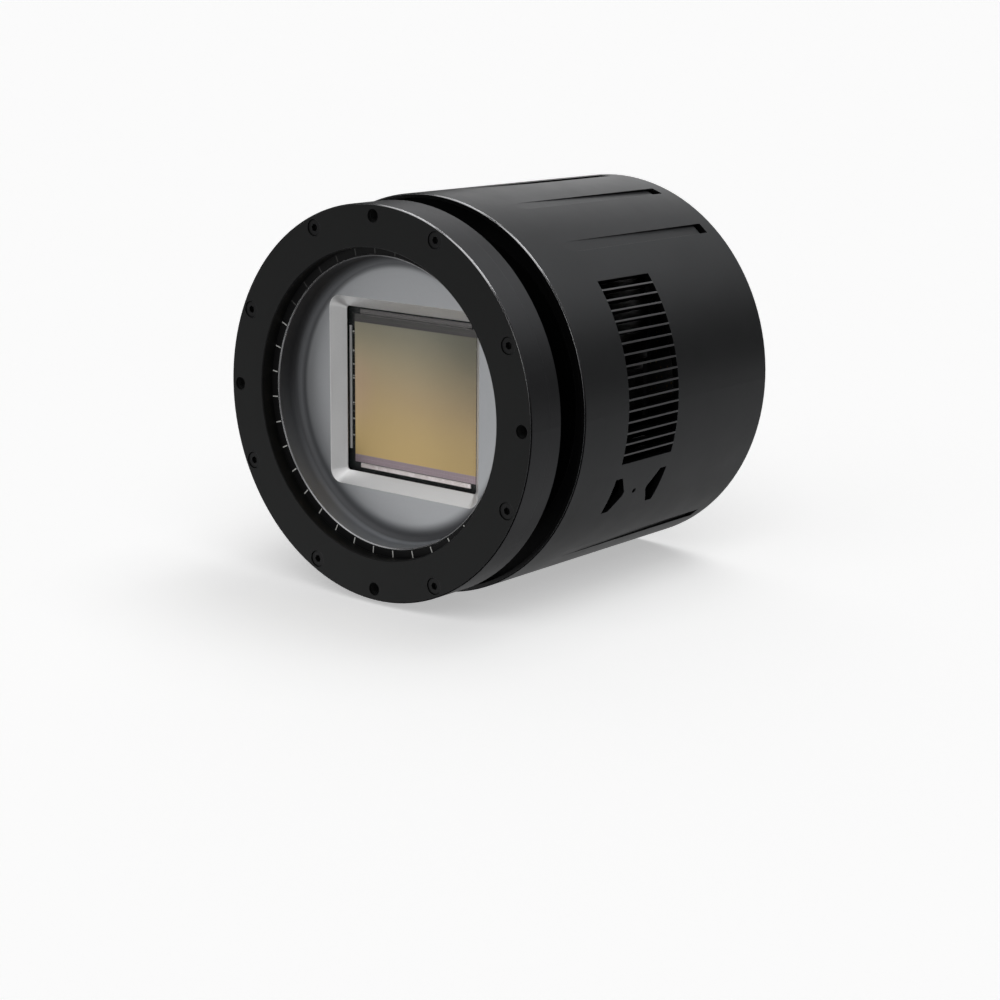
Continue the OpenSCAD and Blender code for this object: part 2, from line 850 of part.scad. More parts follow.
module main_chips() {
    color("#17181a") {
        chip(134, 0, 27, 27, 2);
        chip(132, 28, 14, 12, 1.2);
        chip(132, -28, 14, 12, 1.2);
        chip(156, 22, 10, 10, 1.2);
        chip(156, -22, 10, 10, 1.2);
        chip(card_y0 + 2.5, 0, 5, 24, 2.0);
    }
}

// Capacitor cans lie along X on the inner face of the power board
module power_parts() {
    color("#35383c") mirror([1, 0, 0]) {
        for (z = [-28, -14, 14, 28])
            translate([card_x - 12, 124, z]) rotate([0, 90, 0]) cylinder(r = 5, h = 12);
        for (z = [-24, 0, 24]) chip(142, z, 13, 13, 5.5);
        chip(card_y0 + 2.5, 0, 5, 24, 2.0);
    }
}

module card_guides() {
    color("#1c1c1e") for (mx = [0, 1], mz = [0, 1])
        mirror([mx, 0, 0]) mirror([0, 0, mz]) difference() {
            translate([guide_x0, card_y0, guide_z0]) cube([guide_w, cover_y0 - card_y0, guide_z1 - guide_z0]);
            translate([card_x - gap, card_y0 - eps, guide_z0 - eps])
                cube([card_t + 2 * gap, card_y1 - card_y0 + 0.2, card_half - guide_z0 + gap]);
            translate([guide_x0 + guide_w / 2, 0, guide_screw_z]) bar(1, cover_y0 - 9, cover_y0 + eps);
        }
}

module guide_screws() {
    color("#8c8e90") for (sx = [-1, 1], sz = [-1, 1])
        translate([sx * (guide_x0 + guide_w / 2), 0, sz * guide_screw_z])
            rear_screw(1, 1.9, 1.3, cover_y0 - 8, cover_y1 - 0.1);
}

front_flange();
flange_screws();
scale_ring();
scale_marks();
chamber_plate();
chamber_plate_screws();
chamber_seal();
window_seal();
window_glass();
sensor_package();
sensor_die();
bond_strips();
bond_pads();
sensor_socket();
sensor_board();
sensor_chips();
sensor_standoffs();
sensor_board_screws();
sensor_flex();
thermal_pad();
cold_finger();
clamp_screws();
clamp_washers();
tec_cold_plate();
tec_pellets();
tec_hot_plate();
insulation_ring();
chamber_housing();
purge_plug();
purge_seal();
rear_chamber_seal();
heat_sink();
heat_sink_screws();
feedthroughs();
ribbon_cables();
support_posts();
body_shell();
rear_cover();
rear_cover_screws();
fan_frame();
fan_stator();
fan_bearings();
fan_shaft();
fan_rotor();
fan_screws();
main_board();
main_chips();
power_board();
power_parts();
card_guides();
guide_screws();
data_socket();
fibre_socket();
sync_sockets();
power_socket();
aux_socket();
status_lamp();
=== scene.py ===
"""Looks of the cooled astronomy camera: materials, small surface detail, light and view.

The optical axis is +Y, the front flange faces -Y and +Z is up. Lengths are in metres.
"""
import json
import math

import bmesh
import bpy
from mathutils import Matrix, Vector


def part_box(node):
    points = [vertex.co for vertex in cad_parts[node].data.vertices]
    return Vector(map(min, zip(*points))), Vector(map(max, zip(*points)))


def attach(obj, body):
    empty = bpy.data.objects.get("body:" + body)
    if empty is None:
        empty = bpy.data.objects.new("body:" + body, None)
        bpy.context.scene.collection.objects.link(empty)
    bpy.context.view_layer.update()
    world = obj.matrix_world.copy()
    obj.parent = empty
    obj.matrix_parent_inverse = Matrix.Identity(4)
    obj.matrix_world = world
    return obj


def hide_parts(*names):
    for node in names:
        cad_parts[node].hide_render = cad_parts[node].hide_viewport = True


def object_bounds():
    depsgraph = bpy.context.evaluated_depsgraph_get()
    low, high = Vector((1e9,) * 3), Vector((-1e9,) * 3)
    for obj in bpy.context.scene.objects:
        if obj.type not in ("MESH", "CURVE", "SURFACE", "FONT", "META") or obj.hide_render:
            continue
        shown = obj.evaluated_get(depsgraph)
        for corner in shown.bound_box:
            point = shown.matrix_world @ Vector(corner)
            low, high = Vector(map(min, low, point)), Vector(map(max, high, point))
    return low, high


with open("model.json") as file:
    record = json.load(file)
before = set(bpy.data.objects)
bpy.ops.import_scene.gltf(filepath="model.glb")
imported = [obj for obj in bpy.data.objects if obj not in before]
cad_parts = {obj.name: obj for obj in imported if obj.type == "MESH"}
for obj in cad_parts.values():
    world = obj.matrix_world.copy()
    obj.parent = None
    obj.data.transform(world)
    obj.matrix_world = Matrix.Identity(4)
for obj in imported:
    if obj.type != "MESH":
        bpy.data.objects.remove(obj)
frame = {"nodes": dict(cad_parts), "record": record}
CAD_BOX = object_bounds()
MM = 0.001

# Sizes that the looks depend on, read from the frame
FLANGE_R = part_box("front_flange")[1].x
SHELL_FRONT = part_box("body_shell")[0].y
COVER_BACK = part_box("rear_cover")[1].y
DIE_LOW, DIE_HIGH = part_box("sensor_die")
DIE_HALF_W = DIE_HIGH.x
DIE_HALF_H = DIE_HIGH.z
PAD_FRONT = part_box("bond_pads")[0].y

# Sizes of features within a node, which its box doesn't give
CHAMBER_R = 64.7 * MM
VENT_FRONT = 65.6 * MM
VENT_BACK = 103.4 * MM
VENT_MIDDLE = math.radians(10.9)
VENT_REACH = math.radians(25.8)
READOUT_BAND = 3.7 * MM
CHIP_DEPTH = 134 * MM
CHIP_REACH = 14.1 * MM


# --- Shader node helper ---------------------------------------------------------------------------

class Graph:
    """Adds and links shader nodes with few words."""

    def __init__(self, name):
        self.mat = bpy.data.materials.new(name)
        self.mat.use_nodes = True
        self.tree = self.mat.node_tree
        self.tree.nodes.clear()
        self.out = self.tree.nodes.new("ShaderNodeOutputMaterial")
        self._where = None

    def node(self, kind, inputs=None, **settings):
        made = self.tree.nodes.new("ShaderNode" + kind)
        for key, value in settings.items():
            setattr(made, key, value)
        for key, value in (inputs or {}).items():
            self.feed(made.inputs[key], value)
        return made

    def feed(self, socket, value):
        if isinstance(value, bpy.types.NodeSocket):
            self.tree.links.new(value, socket)
        elif socket.type == "RGBA" and not isinstance(value, float) and len(value) == 3:
            socket.default_value = (*value, 1.0)
        else:
            socket.default_value = value

    def math(self, operation, a, b=0.0, c=0.0, clamp=False):
        made = self.node("Math", {0: a, 1: b, 2: c}, operation=operation)
        made.use_clamp = clamp
        return made.outputs[0]

    def where(self):
        """Position in the shared frame at rest, because every object's own origin is that frame's."""
        if self._where is None:
            self._where = self.node("TexCoord").outputs["Object"]
        return self._where

    def xyz(self):
        made = self.node("SeparateXYZ", {0: self.where()})
        return made.outputs[0], made.outputs[1], made.outputs[2]

    def all_of(self, *shares):
        """1 where every share is 1."""
        product = shares[0]
        for share in shares[1:]:
            product = self.math("MULTIPLY", product, share)
        return product

    def between(self, value, low, high):
        """1 where value lies between low and high."""
        return self.all_of(self.math("GREATER_THAN", value, low), self.math("LESS_THAN", value, high))

    def scaled(self, colour, factor):
        return self.node("VectorMath", {0: colour, "Scale": factor}, operation="SCALE").outputs[0]

    def point(self, x, y=0.0, z=0.0):
        return self.node("CombineXYZ", {0: x, 1: y, 2: z}).outputs[0]

    def facing(self):
        """X, Y and Z parts of the flat face's normal."""
        return self.node("SeparateXYZ", {0: self.node("NewGeometry").outputs["True Normal"]}).outputs

    def noise(self, scale, detail=2.0, rough=0.5, vector=None):
        inputs = {"Vector": vector or self.where(), "Scale": scale, "Detail": detail, "Roughness": rough}
        return self.node("TexNoise", inputs).outputs[0]

    def remap(self, value, low, high, to_low=0.0, to_high=1.0, smooth=True):
        kind = "SMOOTHSTEP" if smooth else "LINEAR"
        inputs = {0: value, 1: low, 2: high, 3: to_low, 4: to_high}
        return self.node("MapRange", inputs, interpolation_type=kind).outputs[0]

    def mix(self, share, a, b):
        """Colour a where share is 0, b where it is 1."""
        made = self.node("Mix", data_type="RGBA")
        self.feed(made.inputs[0], share)
        self.feed(made.inputs[6], a)
        self.feed(made.inputs[7], b)
        return made.outputs[2]

    def mix_value(self, share, a, b):
        """Value a where share is 0, b where it is 1."""
        return self.node("Mix", {0: share, 2: a, 3: b}).outputs[0]

    def ramp(self, value, stops):
        """Smooth colour ramp through (place, colour) stops."""
        made = self.node("ValToRGB", {0: value})
        ramp = made.color_ramp
        ramp.interpolation = "B_SPLINE"
        while len(ramp.elements) < len(stops):
            ramp.elements.new(0.5)
        for element, (place, colour) in zip(ramp.elements, stops):
            element.position = place
            element.color = (*colour, 1.0)
        return made.outputs[0]

    def vary(self, value, amount, share):
        """value plus or minus amount, driven by a noise in share."""
        return self.math("MULTIPLY_ADD", self.math("SUBTRACT", share, 0.5), 2 * amount, value)

    def rings(self):
        """(radius, depth, 0), in which a noise draws turning marks; then radius and depth alone."""
        x, y, z = self.xyz()
        squares = self.math("ADD", self.math("MULTIPLY", x, x), self.math("MULTIPLY", z, z))
        radius = self.math("SQRT", squares)
        return self.point(radius, y), radius, y

    def rounded(self, radius):
        """Normal of edges broken by radius, and a mask that is 1 on those edges."""
        soft = self.node("Bevel", {"Radius": radius}, samples=4).outputs[0]
        true = self.node("NewGeometry").outputs["True Normal"]
        dot = self.node("VectorMath", {0: soft, 1: true}, operation="DOT_PRODUCT").outputs["Value"]
        return soft, self.remap(dot, 0.985, 0.86)

    def bump(self, height, strength, distance, normal=None):
        inputs = {"Height": height, "Strength": strength, "Distance": distance}
        if normal is not None:
            inputs["Normal"] = normal
        return self.node("Bump", inputs).outputs[0]

    def surface(self, **inputs):
        """Principled surface as the output; names use _ in place of spaces."""
        named = {key.replace("_", " "): value for key, value in inputs.items()}
        shader = self.node("BsdfPrincipled", named)
        self.feed(self.out.inputs[0], shader.outputs[0])
        return self.mat


# --- Materials ------------------------------------------------------------------------------------

def side_share(g, inner_r, back_y=COVER_BACK):
    """1 on turned outer sides beyond a radius and in front of a depth, 0 on flat faces."""
    _, radius, y = g.rings()
    sideways = g.remap(g.math("ABSOLUTE", g.facing()[1]), 0.9, 0.6)
    return g.all_of(sideways, g.math("GREATER_THAN", radius, inner_r), g.math("LESS_THAN", y, back_y))


def chamfer_share(g, low_r, front_y, back_y):
    """1 on the 45 degree edges beyond a radius and between two depths."""
    _, radius, y = g.rings()
    frontal = g.math("ABSOLUTE", g.facing()[1])
    slanted = g.all_of(g.remap(frontal, 0.5, 0.65), g.remap(frontal, 0.85, 0.75))
    return g.all_of(slanted, g.math("GREATER_THAN", radius, low_r), g.between(y, front_y, back_y))


# Tones of the body shell; the bar tone is a painted highlight, the inside tone painted shade
SHELL_GREY = (0.075, 0.077, 0.08)
SHELL_BAR_HIGHLIGHT = (0.2, 0.2, 0.205)
SHELL_INSIDE_SHADE = (0.008, 0.008, 0.0085)


def body_tint(g):
    """Grey where a face looks outwards; the bars between the vents lighter as a painted highlight, and the
    slots and other inward faces black as painted shade.
    """
    _, radius, y = g.rings()
    x, _, z = g.xyz()
    normal = g.facing()
    outward = g.math("MULTIPLY_ADD", normal[0], x, g.math("MULTIPLY", normal[2], z))
    outward = g.remap(g.math("DIVIDE", outward, radius), 0.5, 0.65)
    outward = g.all_of(outward, g.math("GREATER_THAN", radius, FLANGE_R + 0.2 * MM))
    turn = g.math("ARCTAN2", z, g.math("ABSOLUTE", x))
    bars = g.all_of(g.between(turn, VENT_MIDDLE - VENT_REACH, VENT_MIDDLE + VENT_REACH),
                    g.between(y, VENT_FRONT, VENT_BACK))
    # The lighter bars are a painted highlight, the black inward faces painted shade
    return g.mix(outward, SHELL_INSIDE_SHADE, g.mix(bars, SHELL_GREY, SHELL_BAR_HIGHLIGHT))


def chamber_rim(g):
    """1 on the narrow chamfer of the chamber's rim, and 1 on the flat land around it."""
    _, radius, _ = g.rings()
    frontal = g.math("ABSOLUTE", g.facing()[1])
    beyond = g.math("GREATER_THAN", radius, CHAMBER_R - 0.05 * MM)
    chamfer = g.all_of(beyond, g.remap(frontal, 0.4, 0.6), g.remap(frontal, 0.9, 0.8))
    land = g.all_of(beyond, g.remap(frontal, 0.9, 0.95))
    return chamfer, land


# Tones of the chamber plate; wall and milled faces run from an upper to a lower tone, lighter towards the
# bottom as painted light from above, and the dark foot is painted shade
CHAMBER_FLOOR = (0.45, 0.46, 0.475)
CHAMBER_FOOT_SHADE = (0.13, 0.133, 0.14)
CHAMBER_WALL_SHADING = ((0.09, 0.09, 0.094), (0.42, 0.435, 0.46))
CHAMBER_LAND = (0.012, 0.012, 0.0125)
CHAMBER_CHAMFER = (0.42, 0.42, 0.43)
CHAMBER_MILLED_SHADING = ((0.94, 0.94, 0.94), (1.0, 1.0, 1.0))


def chamber_tint(g):
    """Bright milled funnel faces, grey floor with a darker foot, and a wall that is darkest at the top;
    the foot is painted shade, and the lighter lower wall and milled faces are painted light.
    """
    _, radius, _ = g.rings()
    inset = g.math("SUBTRACT", CHAMBER_R, radius)
    lower = g.remap(g.xyz()[2], 20 * MM, -60 * MM)
    frontal = g.math("ABSOLUTE", g.facing()[1])
    # Darker foot where the wall meets the floor: painted shade in the corner
    foot = g.mix_value(lower, g.remap(inset, 7 * MM, 4.2 * MM), g.remap(inset, 9.7 * MM, 3.5 * MM))
    wall = g.remap(inset, 1.5 * MM, 0.3 * MM)
    milled = g.all_of(g.remap(frontal, 0.97, 0.9), g.math("GREATER_THAN", inset, 5.5 * MM))
    chamfer, land = chamber_rim(g)
    tint = g.mix(foot, CHAMBER_FLOOR, CHAMBER_FOOT_SHADE)
    # Wall lighter towards the bottom, darkest at the top: painted light and shade
    tint = g.mix(wall, tint, g.mix(lower, *CHAMBER_WALL_SHADING))
    tint = g.mix(land, tint, CHAMBER_LAND)
    tint = g.mix(chamfer, tint, CHAMBER_CHAMFER)
    # Milled faces lighter towards the bottom: painted light
    return g.mix(milled, tint, g.mix(lower, *CHAMBER_MILLED_SHADING))


def chamber_gloss(g):
    """The wall and its rounded foot are duller than the floor; the rim's chamfer is freshly cut."""
    _, radius, _ = g.rings()
    chamfer, _ = chamber_rim(g)
    dull = g.remap(radius, CHAMBER_R - 9 * MM, CHAMBER_R - 4 * MM, 0.40, 0.58)
    return g.mix_value(chamfer, dull, 0.28)


def anodised(name, tint, rough, metallic, specular, wear, bare=(0.30, 0.31, 0.33), clouds=0.12,
             side=None, cut=None):
    """Dyed, bead-blasted aluminium with faint turning marks and edges that show a little bare metal.

    tint and rough are values, or functions of the graph.
    side gives a glossier outer side whose lighter tint is painted light: (tint, metallic, roughness,
    limits of side_share).
    cut gives smoothly turned chamfers whose light tint is painted on their upper half only, as a
    highlight: (tint, roughness, limits of chamfer_share).
    """
    g = Graph(name)
    tint = tint(g) if callable(tint) else tint
    rough = rough(g) if callable(rough) else rough
    ring_space, _, _ = g.rings()
    blast = g.noise(2600.0, 2.0)
    marks = g.noise(1500.0, 1.0, vector=ring_space)
    cloud = g.noise(14.0, 4.0, 0.6)
    handling = g.noise(55.0, 3.0, 0.65)
    if side:
        # The outer side's lighter tint is painted light; its gloss and metal share are the finish
        lit_side_tint, side_metallic, side_rough, limits = side
        share = side_share(g, **limits)
        tint = g.mix(share, tint, lit_side_tint)
        metallic = g.mix_value(share, metallic, side_metallic)
        rough = g.mix_value(share, rough, side_rough)
    if cut:
        cut_highlight_tint, cut_rough, limits = cut
        # Light tint on the upper half of the chamfers only: a painted highlight
        share = chamfer_share(g, **limits)
        upper = g.remap(g.xyz()[2], 0.0, 40 * MM)
        tint = g.mix(g.all_of(share, upper), tint, cut_highlight_tint)
        metallic = g.mix_value(share, metallic, 1.0)
        rough = g.mix_value(share, rough, cut_rough)
    soft, edges = g.rounded(0.25 * MM)
    recolour = g.all_of(edges, g.remap(g.noise(160.0, 3.0), 0.35, 0.75, 0.25, 1.0), wear)
    shade = g.vary(g.vary(1.0, clouds, cloud), 0.05, blast)
    colour = g.mix(recolour, g.scaled(tint, shade), bare)
    gloss = g.vary(g.vary(rough, 0.05, handling), 0.03, marks)
    gloss = g.math("MULTIPLY_ADD", recolour, -0.12, gloss, clamp=True)
    height = g.math("MULTIPLY_ADD", marks, 0.2, g.math("MULTIPLY", blast, 0.5))
    normal = g.bump(height, 0.25, 0.02 * MM, soft)
    return g.surface(Base_Color=colour, Metallic=metallic, Roughness=gloss, Specular_IOR_Level=specular,
                     Normal=normal)


def bare_metal(name, tint, rough, tarnish=(0.2, 0.2, 0.2), stain=0.1):
    """Machined metal with turning marks, fine scratches and a slight tarnish."""
    g = Graph(name)
    ring_space, _, _ = g.rings()
    marks = g.noise(2200.0, 1.5, vector=ring_space)
    fine = g.noise(3000.0, 2.0)
    cloud = g.noise(22.0, 4.0, 0.6)
    spots = g.remap(g.noise(110.0, 4.0, 0.7), 0.55, 0.8)
    soft, edges = g.rounded(0.2 * MM)
    colour = g.mix(g.math("MULTIPLY", spots, stain), tint, tarnish)
    shade = g.vary(g.vary(1.0, 0.06, cloud), 0.03, fine)
    colour = g.scaled(colour, shade)
    gloss = g.vary(g.vary(rough, 0.06, cloud), 0.04, marks)
    gloss = g.math("MULTIPLY_ADD", edges, -0.08, gloss, clamp=True)
    height = g.math("MULTIPLY_ADD", marks, 0.3, g.math("MULTIPLY", fine, 0.3))
    return g.surface(Base_Color=colour, Metallic=1.0, Roughness=gloss,
                     Normal=g.bump(height, 0.2, 0.015 * MM, soft))


def moulded(name, tint, rough=0.55, grain=900.0, depth=0.03 * MM):
    """Moulded plastic, rubber or foam with a fine skin texture."""
    g = Graph(name)
    texture = g.noise(grain, 3.0, 0.6)
    cloud = g.noise(30.0, 3.0)
    soft, edges = g.rounded(0.3 * MM)
    shade = g.vary(g.vary(1.0, 0.1, cloud), 0.05, texture)
    shade = g.math("MULTIPLY_ADD", edges, 0.25, shade)
    return g.surface(Base_Color=g.scaled(tint, shade), Roughness=g.vary(rough, 0.08, cloud),
                     Specular_IOR_Level=0.4, Normal=g.bump(texture, 0.35, depth, soft))


def mark_paint():
    """White fill of the engraved lines, drawn dark in the upper ones as painted shade, along a ragged
    line.
    """
    g = Graph("mark_paint")
    _, _, z = g.xyz()
    texture = g.noise(1500.0, 3.0, 0.6)
    # Upper marks drawn dark along a ragged line: painted shade
    recolour = g.math("MULTIPLY_ADD", g.math("SUBTRACT", texture, 0.5), 12 * MM, z)
    colour = g.mix(g.remap(recolour, 31 * MM, 40 * MM), (0.78, 0.78, 0.75), (0.055, 0.055, 0.053))
    return g.surface(Base_Color=colour, Roughness=g.vary(0.6, 0.08, texture), Specular_IOR_Level=0.4,
                     Normal=g.bump(texture, 0.35, 0.03 * MM))


def window_coating():
    """Anti-reflection coated glass: nearly clear, with a faint coloured sheen."""
    g = Graph("window_coating")
    facing = g.node("LayerWeight", {"Blend": 0.25}).outputs["Facing"]
    smear = g.noise(35.0, 3.0)
    tone = g.mix(facing, (0.10, 0.16, 0.13), (0.20, 0.12, 0.24))
    alpha = g.math("MULTIPLY_ADD", facing, 0.05, g.math("MULTIPLY", smear, 0.03))
    return g.surface(Base_Color=tone, Roughness=g.vary(0.06, 0.03, smear), Alpha=alpha)


# Tones of the die's anti-reflection coating, from the bottom edge to the top, darkening upwards as painted
# shade
SENSOR_TONES = ((0.10, (0.61, 0.44, 0.195)), (0.30, (0.57, 0.42, 0.205)), (0.50, (0.51, 0.385, 0.225)),
                (0.70, (0.43, 0.365, 0.24)), (0.90, (0.26, 0.25, 0.195)))


def sensor_surface():
    """Polished die: tan active area with painted shade, darker towards the top and darkest in one upper
    corner, and a readout band above and below.
    """
    g = Graph("sensor_surface")
    x, _, z = g.xyz()
    across = g.math("DIVIDE", x, DIE_HALF_W)
    up = g.math("DIVIDE", z, DIE_HALF_H)
    lean = g.math("MULTIPLY_ADD", across, 0.12, up)
    # Tan coating darkening towards the top, and darkest in one upper corner: painted shade
    active = g.ramp(g.remap(lean, -1.0, 1.0, smooth=False), SENSOR_TONES)
    corner = g.all_of(g.remap(across, -0.15, 1.1), g.remap(up, -0.6, 0.7, 0.45, 1.0))
    active = g.scaled(active, g.math("MULTIPLY_ADD", corner, -0.4, 1.0))
    pink = g.all_of(g.remap(across, -0.55, -1.0), g.remap(g.math("ABSOLUTE", up), 0.7, 0.1), 0.3)
    active = g.mix(pink, active, (0.58, 0.38, 0.31))
    streaks = g.noise(900.0, 2.0, vector=g.point(x))
    active = g.scaled(active, g.vary(1.0, 0.015, streaks))
    cells = g.node("TexBrick", {"Vector": g.point(x, z), "Scale": 1.0, "Brick Width": 0.9 * MM,
                                "Row Height": 1.7 * MM, "Mortar Size": 0.09 * MM,
                                "Mortar Smooth": 0.3}, offset=0.0)
    lower_band = g.mix(cells.outputs["Fac"], (0.32, 0.25, 0.28), (0.40, 0.33, 0.35))
    upper_band = g.mix(cells.outputs["Fac"], (0.075, 0.07, 0.07), (0.105, 0.10, 0.095))
    border = 1.0 - READOUT_BAND / DIE_HALF_H
    blur = 0.004
    colour = g.mix(g.remap(up, -border + blur, -border - blur), active, lower_band)
    colour = g.mix(g.remap(up, border - blur, border + blur), colour, upper_band)
    rim = g.remap(g.math("MAXIMUM", g.math("ABSOLUTE", across), g.math("ABSOLUTE", up)), 0.994, 0.999)
    colour = g.mix(rim, colour, (0.05, 0.045, 0.05))
    dust = g.remap(g.noise(420.0, 4.0), 0.7, 0.85)
    return g.surface(Base_Color=colour, Metallic=0.75, Roughness=g.math("MULTIPLY_ADD", dust, 0.1, 0.3),
                     Normal=g.bump(g.math("ADD", streaks, cells.outputs["Fac"]), 0.05, 0.01 * MM))


def bond_surface():
    """Plated strips with rows of small contacts; the upper strip is drawn dark as painted shade, the side
    ones are white.
    """
    g = Graph("bond_surface")
    x, _, z = g.xyz()
    along = g.point(g.math("ADD", x, z), g.math("SUBTRACT", x, z))
    pads = g.node("TexBrick", {"Vector": g.point(x, z), "Scale": 1.0, "Brick Width": 0.62 * MM,
                               "Row Height": 0.62 * MM, "Mortar Size": 0.13 * MM}, offset=0.0)
    gaps = g.remap(g.noise(160.0, 2.0, vector=along), 0.42, 0.5)
    contacts = g.all_of(g.math("SUBTRACT", 1.0, pads.outputs["Fac"]), gaps, 0.6)
    colour = g.mix(contacts, (0.95, 0.87, 0.87), (0.52, 0.44, 0.38))
    stain = g.noise(220.0, 3.0)
    colour = g.mix(g.remap(stain, 0.5, 0.8, 0.0, 0.4), colour, (0.55, 0.46, 0.47))
    # Dark upper strip: painted shade
    upper = g.remap(z, DIE_HALF_H - 2 * MM, DIE_HALF_H - 1 * MM)
    beside = g.math("GREATER_THAN", g.math("ABSOLUTE", x), DIE_HALF_W + 1.5 * MM)
    colour = g.mix(upper, colour, (0.16, 0.15, 0.15))
    colour = g.mix(beside, colour, (0.95, 0.94, 0.93))
    metallic = g.mix_value(beside, g.mix_value(upper, 0.85, 0.5), 0.0)
    return g.surface(Base_Color=colour, Roughness=g.vary(0.34, 0.1, stain), Metallic=metallic,
                     Normal=g.bump(pads.outputs["Fac"], 0.3, 0.03 * MM))


def pad_surface():
    """Bond pads of blackened metal, with a few bright ones."""
    g = Graph("pad_surface")
    _, _, z = g.xyz()
    run = g.noise(330.0, 2.0, vector=g.point(z))
    colour = g.mix(g.remap(run, 0.53, 0.6), (0.01, 0.01, 0.008), (0.9, 0.88, 0.84))
    fine = g.noise(2500.0, 2.0)
    return g.surface(Base_Color=colour, Metallic=0.6, Roughness=g.vary(0.4, 0.1, fine),
                     Normal=g.bump(fine, 0.2, 0.01 * MM))


def circuit_surface():
    """Solder mask over copper traces, with plated points on the two broad faces, all drawn very dark as
    painted shade inside the body.
    """
    g = Graph("circuit_surface")
    x, y, z = g.xyz()
    flat = g.point(g.math("ADD", x, y), g.math("ADD", z, y))
    traces = g.node("TexBrick", {"Vector": flat, "Scale": 1.0, "Brick Width": 9 * MM,
                                 "Row Height": 1.1 * MM, "Mortar Size": 0.16 * MM}, offset=0.37)
    cells = g.node("TexVoronoi", {"Vector": g.where(), "Scale": 240.0, "Randomness": 0.35})
    broad = g.math("GREATER_THAN", g.math("ABSOLUTE", g.facing()[0]), 0.9)
    plated = g.all_of(g.remap(cells.outputs["Distance"], 0.16, 0.10), broad)
    # Near-black mask and dim plating: painted shade
    mask = g.mix(traces.outputs["Fac"], (0.004, 0.005, 0.006), (0.010, 0.012, 0.014))
    colour = g.mix(plated, mask, (0.16, 0.12, 0.05))
    gloss = g.vary(0.32, 0.06, g.noise(60.0, 3.0))
    return g.surface(Base_Color=colour, Metallic=g.math("MULTIPLY", plated, 0.8), Roughness=gloss,
                     Normal=g.bump(traces.outputs["Fac"], 0.35, 0.04 * MM))


def ribbon_surface():
    """Ribbon of parallel insulated wires drawn dark as painted shade inside the body, darker still in the
    grooves between wires, the uppermost of them lighter.
    """
    g = Graph("ribbon_surface")
    _, _, z = g.xyz()
    half_wire = 0.635 * MM
    ridge = g.remap(g.math("PINGPONG", z, half_wire), 0.0, half_wire)
    uppermost = g.remap(z, 9.0 * MM, 9.1 * MM)
    # Near-black tones and darker grooves between wires: painted shade
    colour = g.mix(ridge, (0.006, 0.006, 0.006), (0.018, 0.018, 0.019))
    colour = g.mix(uppermost, colour, (0.04, 0.04, 0.042))
    sheen = g.noise(700.0, 2.0)
    return g.surface(Base_Color=colour, Roughness=g.vary(0.5, 0.08, sheen),
                     Normal=g.bump(ridge, 0.6, 0.2 * MM))


def lamp_surface():
    """Tinted light guide with a faint glow."""
    g = Graph("lamp_surface")
    depth = g.noise(800.0, 2.0)
    return g.surface(Base_Color=(0.16, 0.55, 0.22), Roughness=g.vary(0.25, 0.08, depth),
                     Transmission_Weight=0.4, Emission_Color=(0.2, 1.0, 0.35), Emission_Strength=0.25,
                     Normal=g.bump(depth, 0.1, 0.02 * MM))


# Outer sides and chamfers of the anodised pieces, in the form that anodised() takes; their lighter side
# tint and upper chamfer tint are painted light
# Near black for parts deep inside: the neck's own black deepened by painted shade, and the heat sink drawn
# dark as painted shade
INNER_BLACK_AND_SHADE = (0.004, 0.004, 0.0045)
LIT_SIDE_TINT = (0.085, 0.086, 0.09)
CUT_HIGHLIGHT_TINT = (0.58, 0.58, 0.59)
FLANGE_SIDE = (LIT_SIDE_TINT, 0.9, 0.42, {"inner_r": FLANGE_R - 2 * MM})
NECK_SIDE = (LIT_SIDE_TINT, 0.9, 0.42, {"inner_r": FLANGE_R - 2 * MM, "back_y": SHELL_FRONT - 5 * MM})
FLANGE_CUT = (CUT_HIGHLIGHT_TINT, 0.13, {"low_r": FLANGE_R - 1.2 * MM, "front_y": -1 * MM, "back_y": 5 * MM})
SHELL_CUT = (CUT_HIGHLIGHT_TINT, 0.13, {"low_r": FLANGE_R, "front_y": SHELL_FRONT - 1 * MM,
                              "back_y": SHELL_FRONT + 2 * MM})

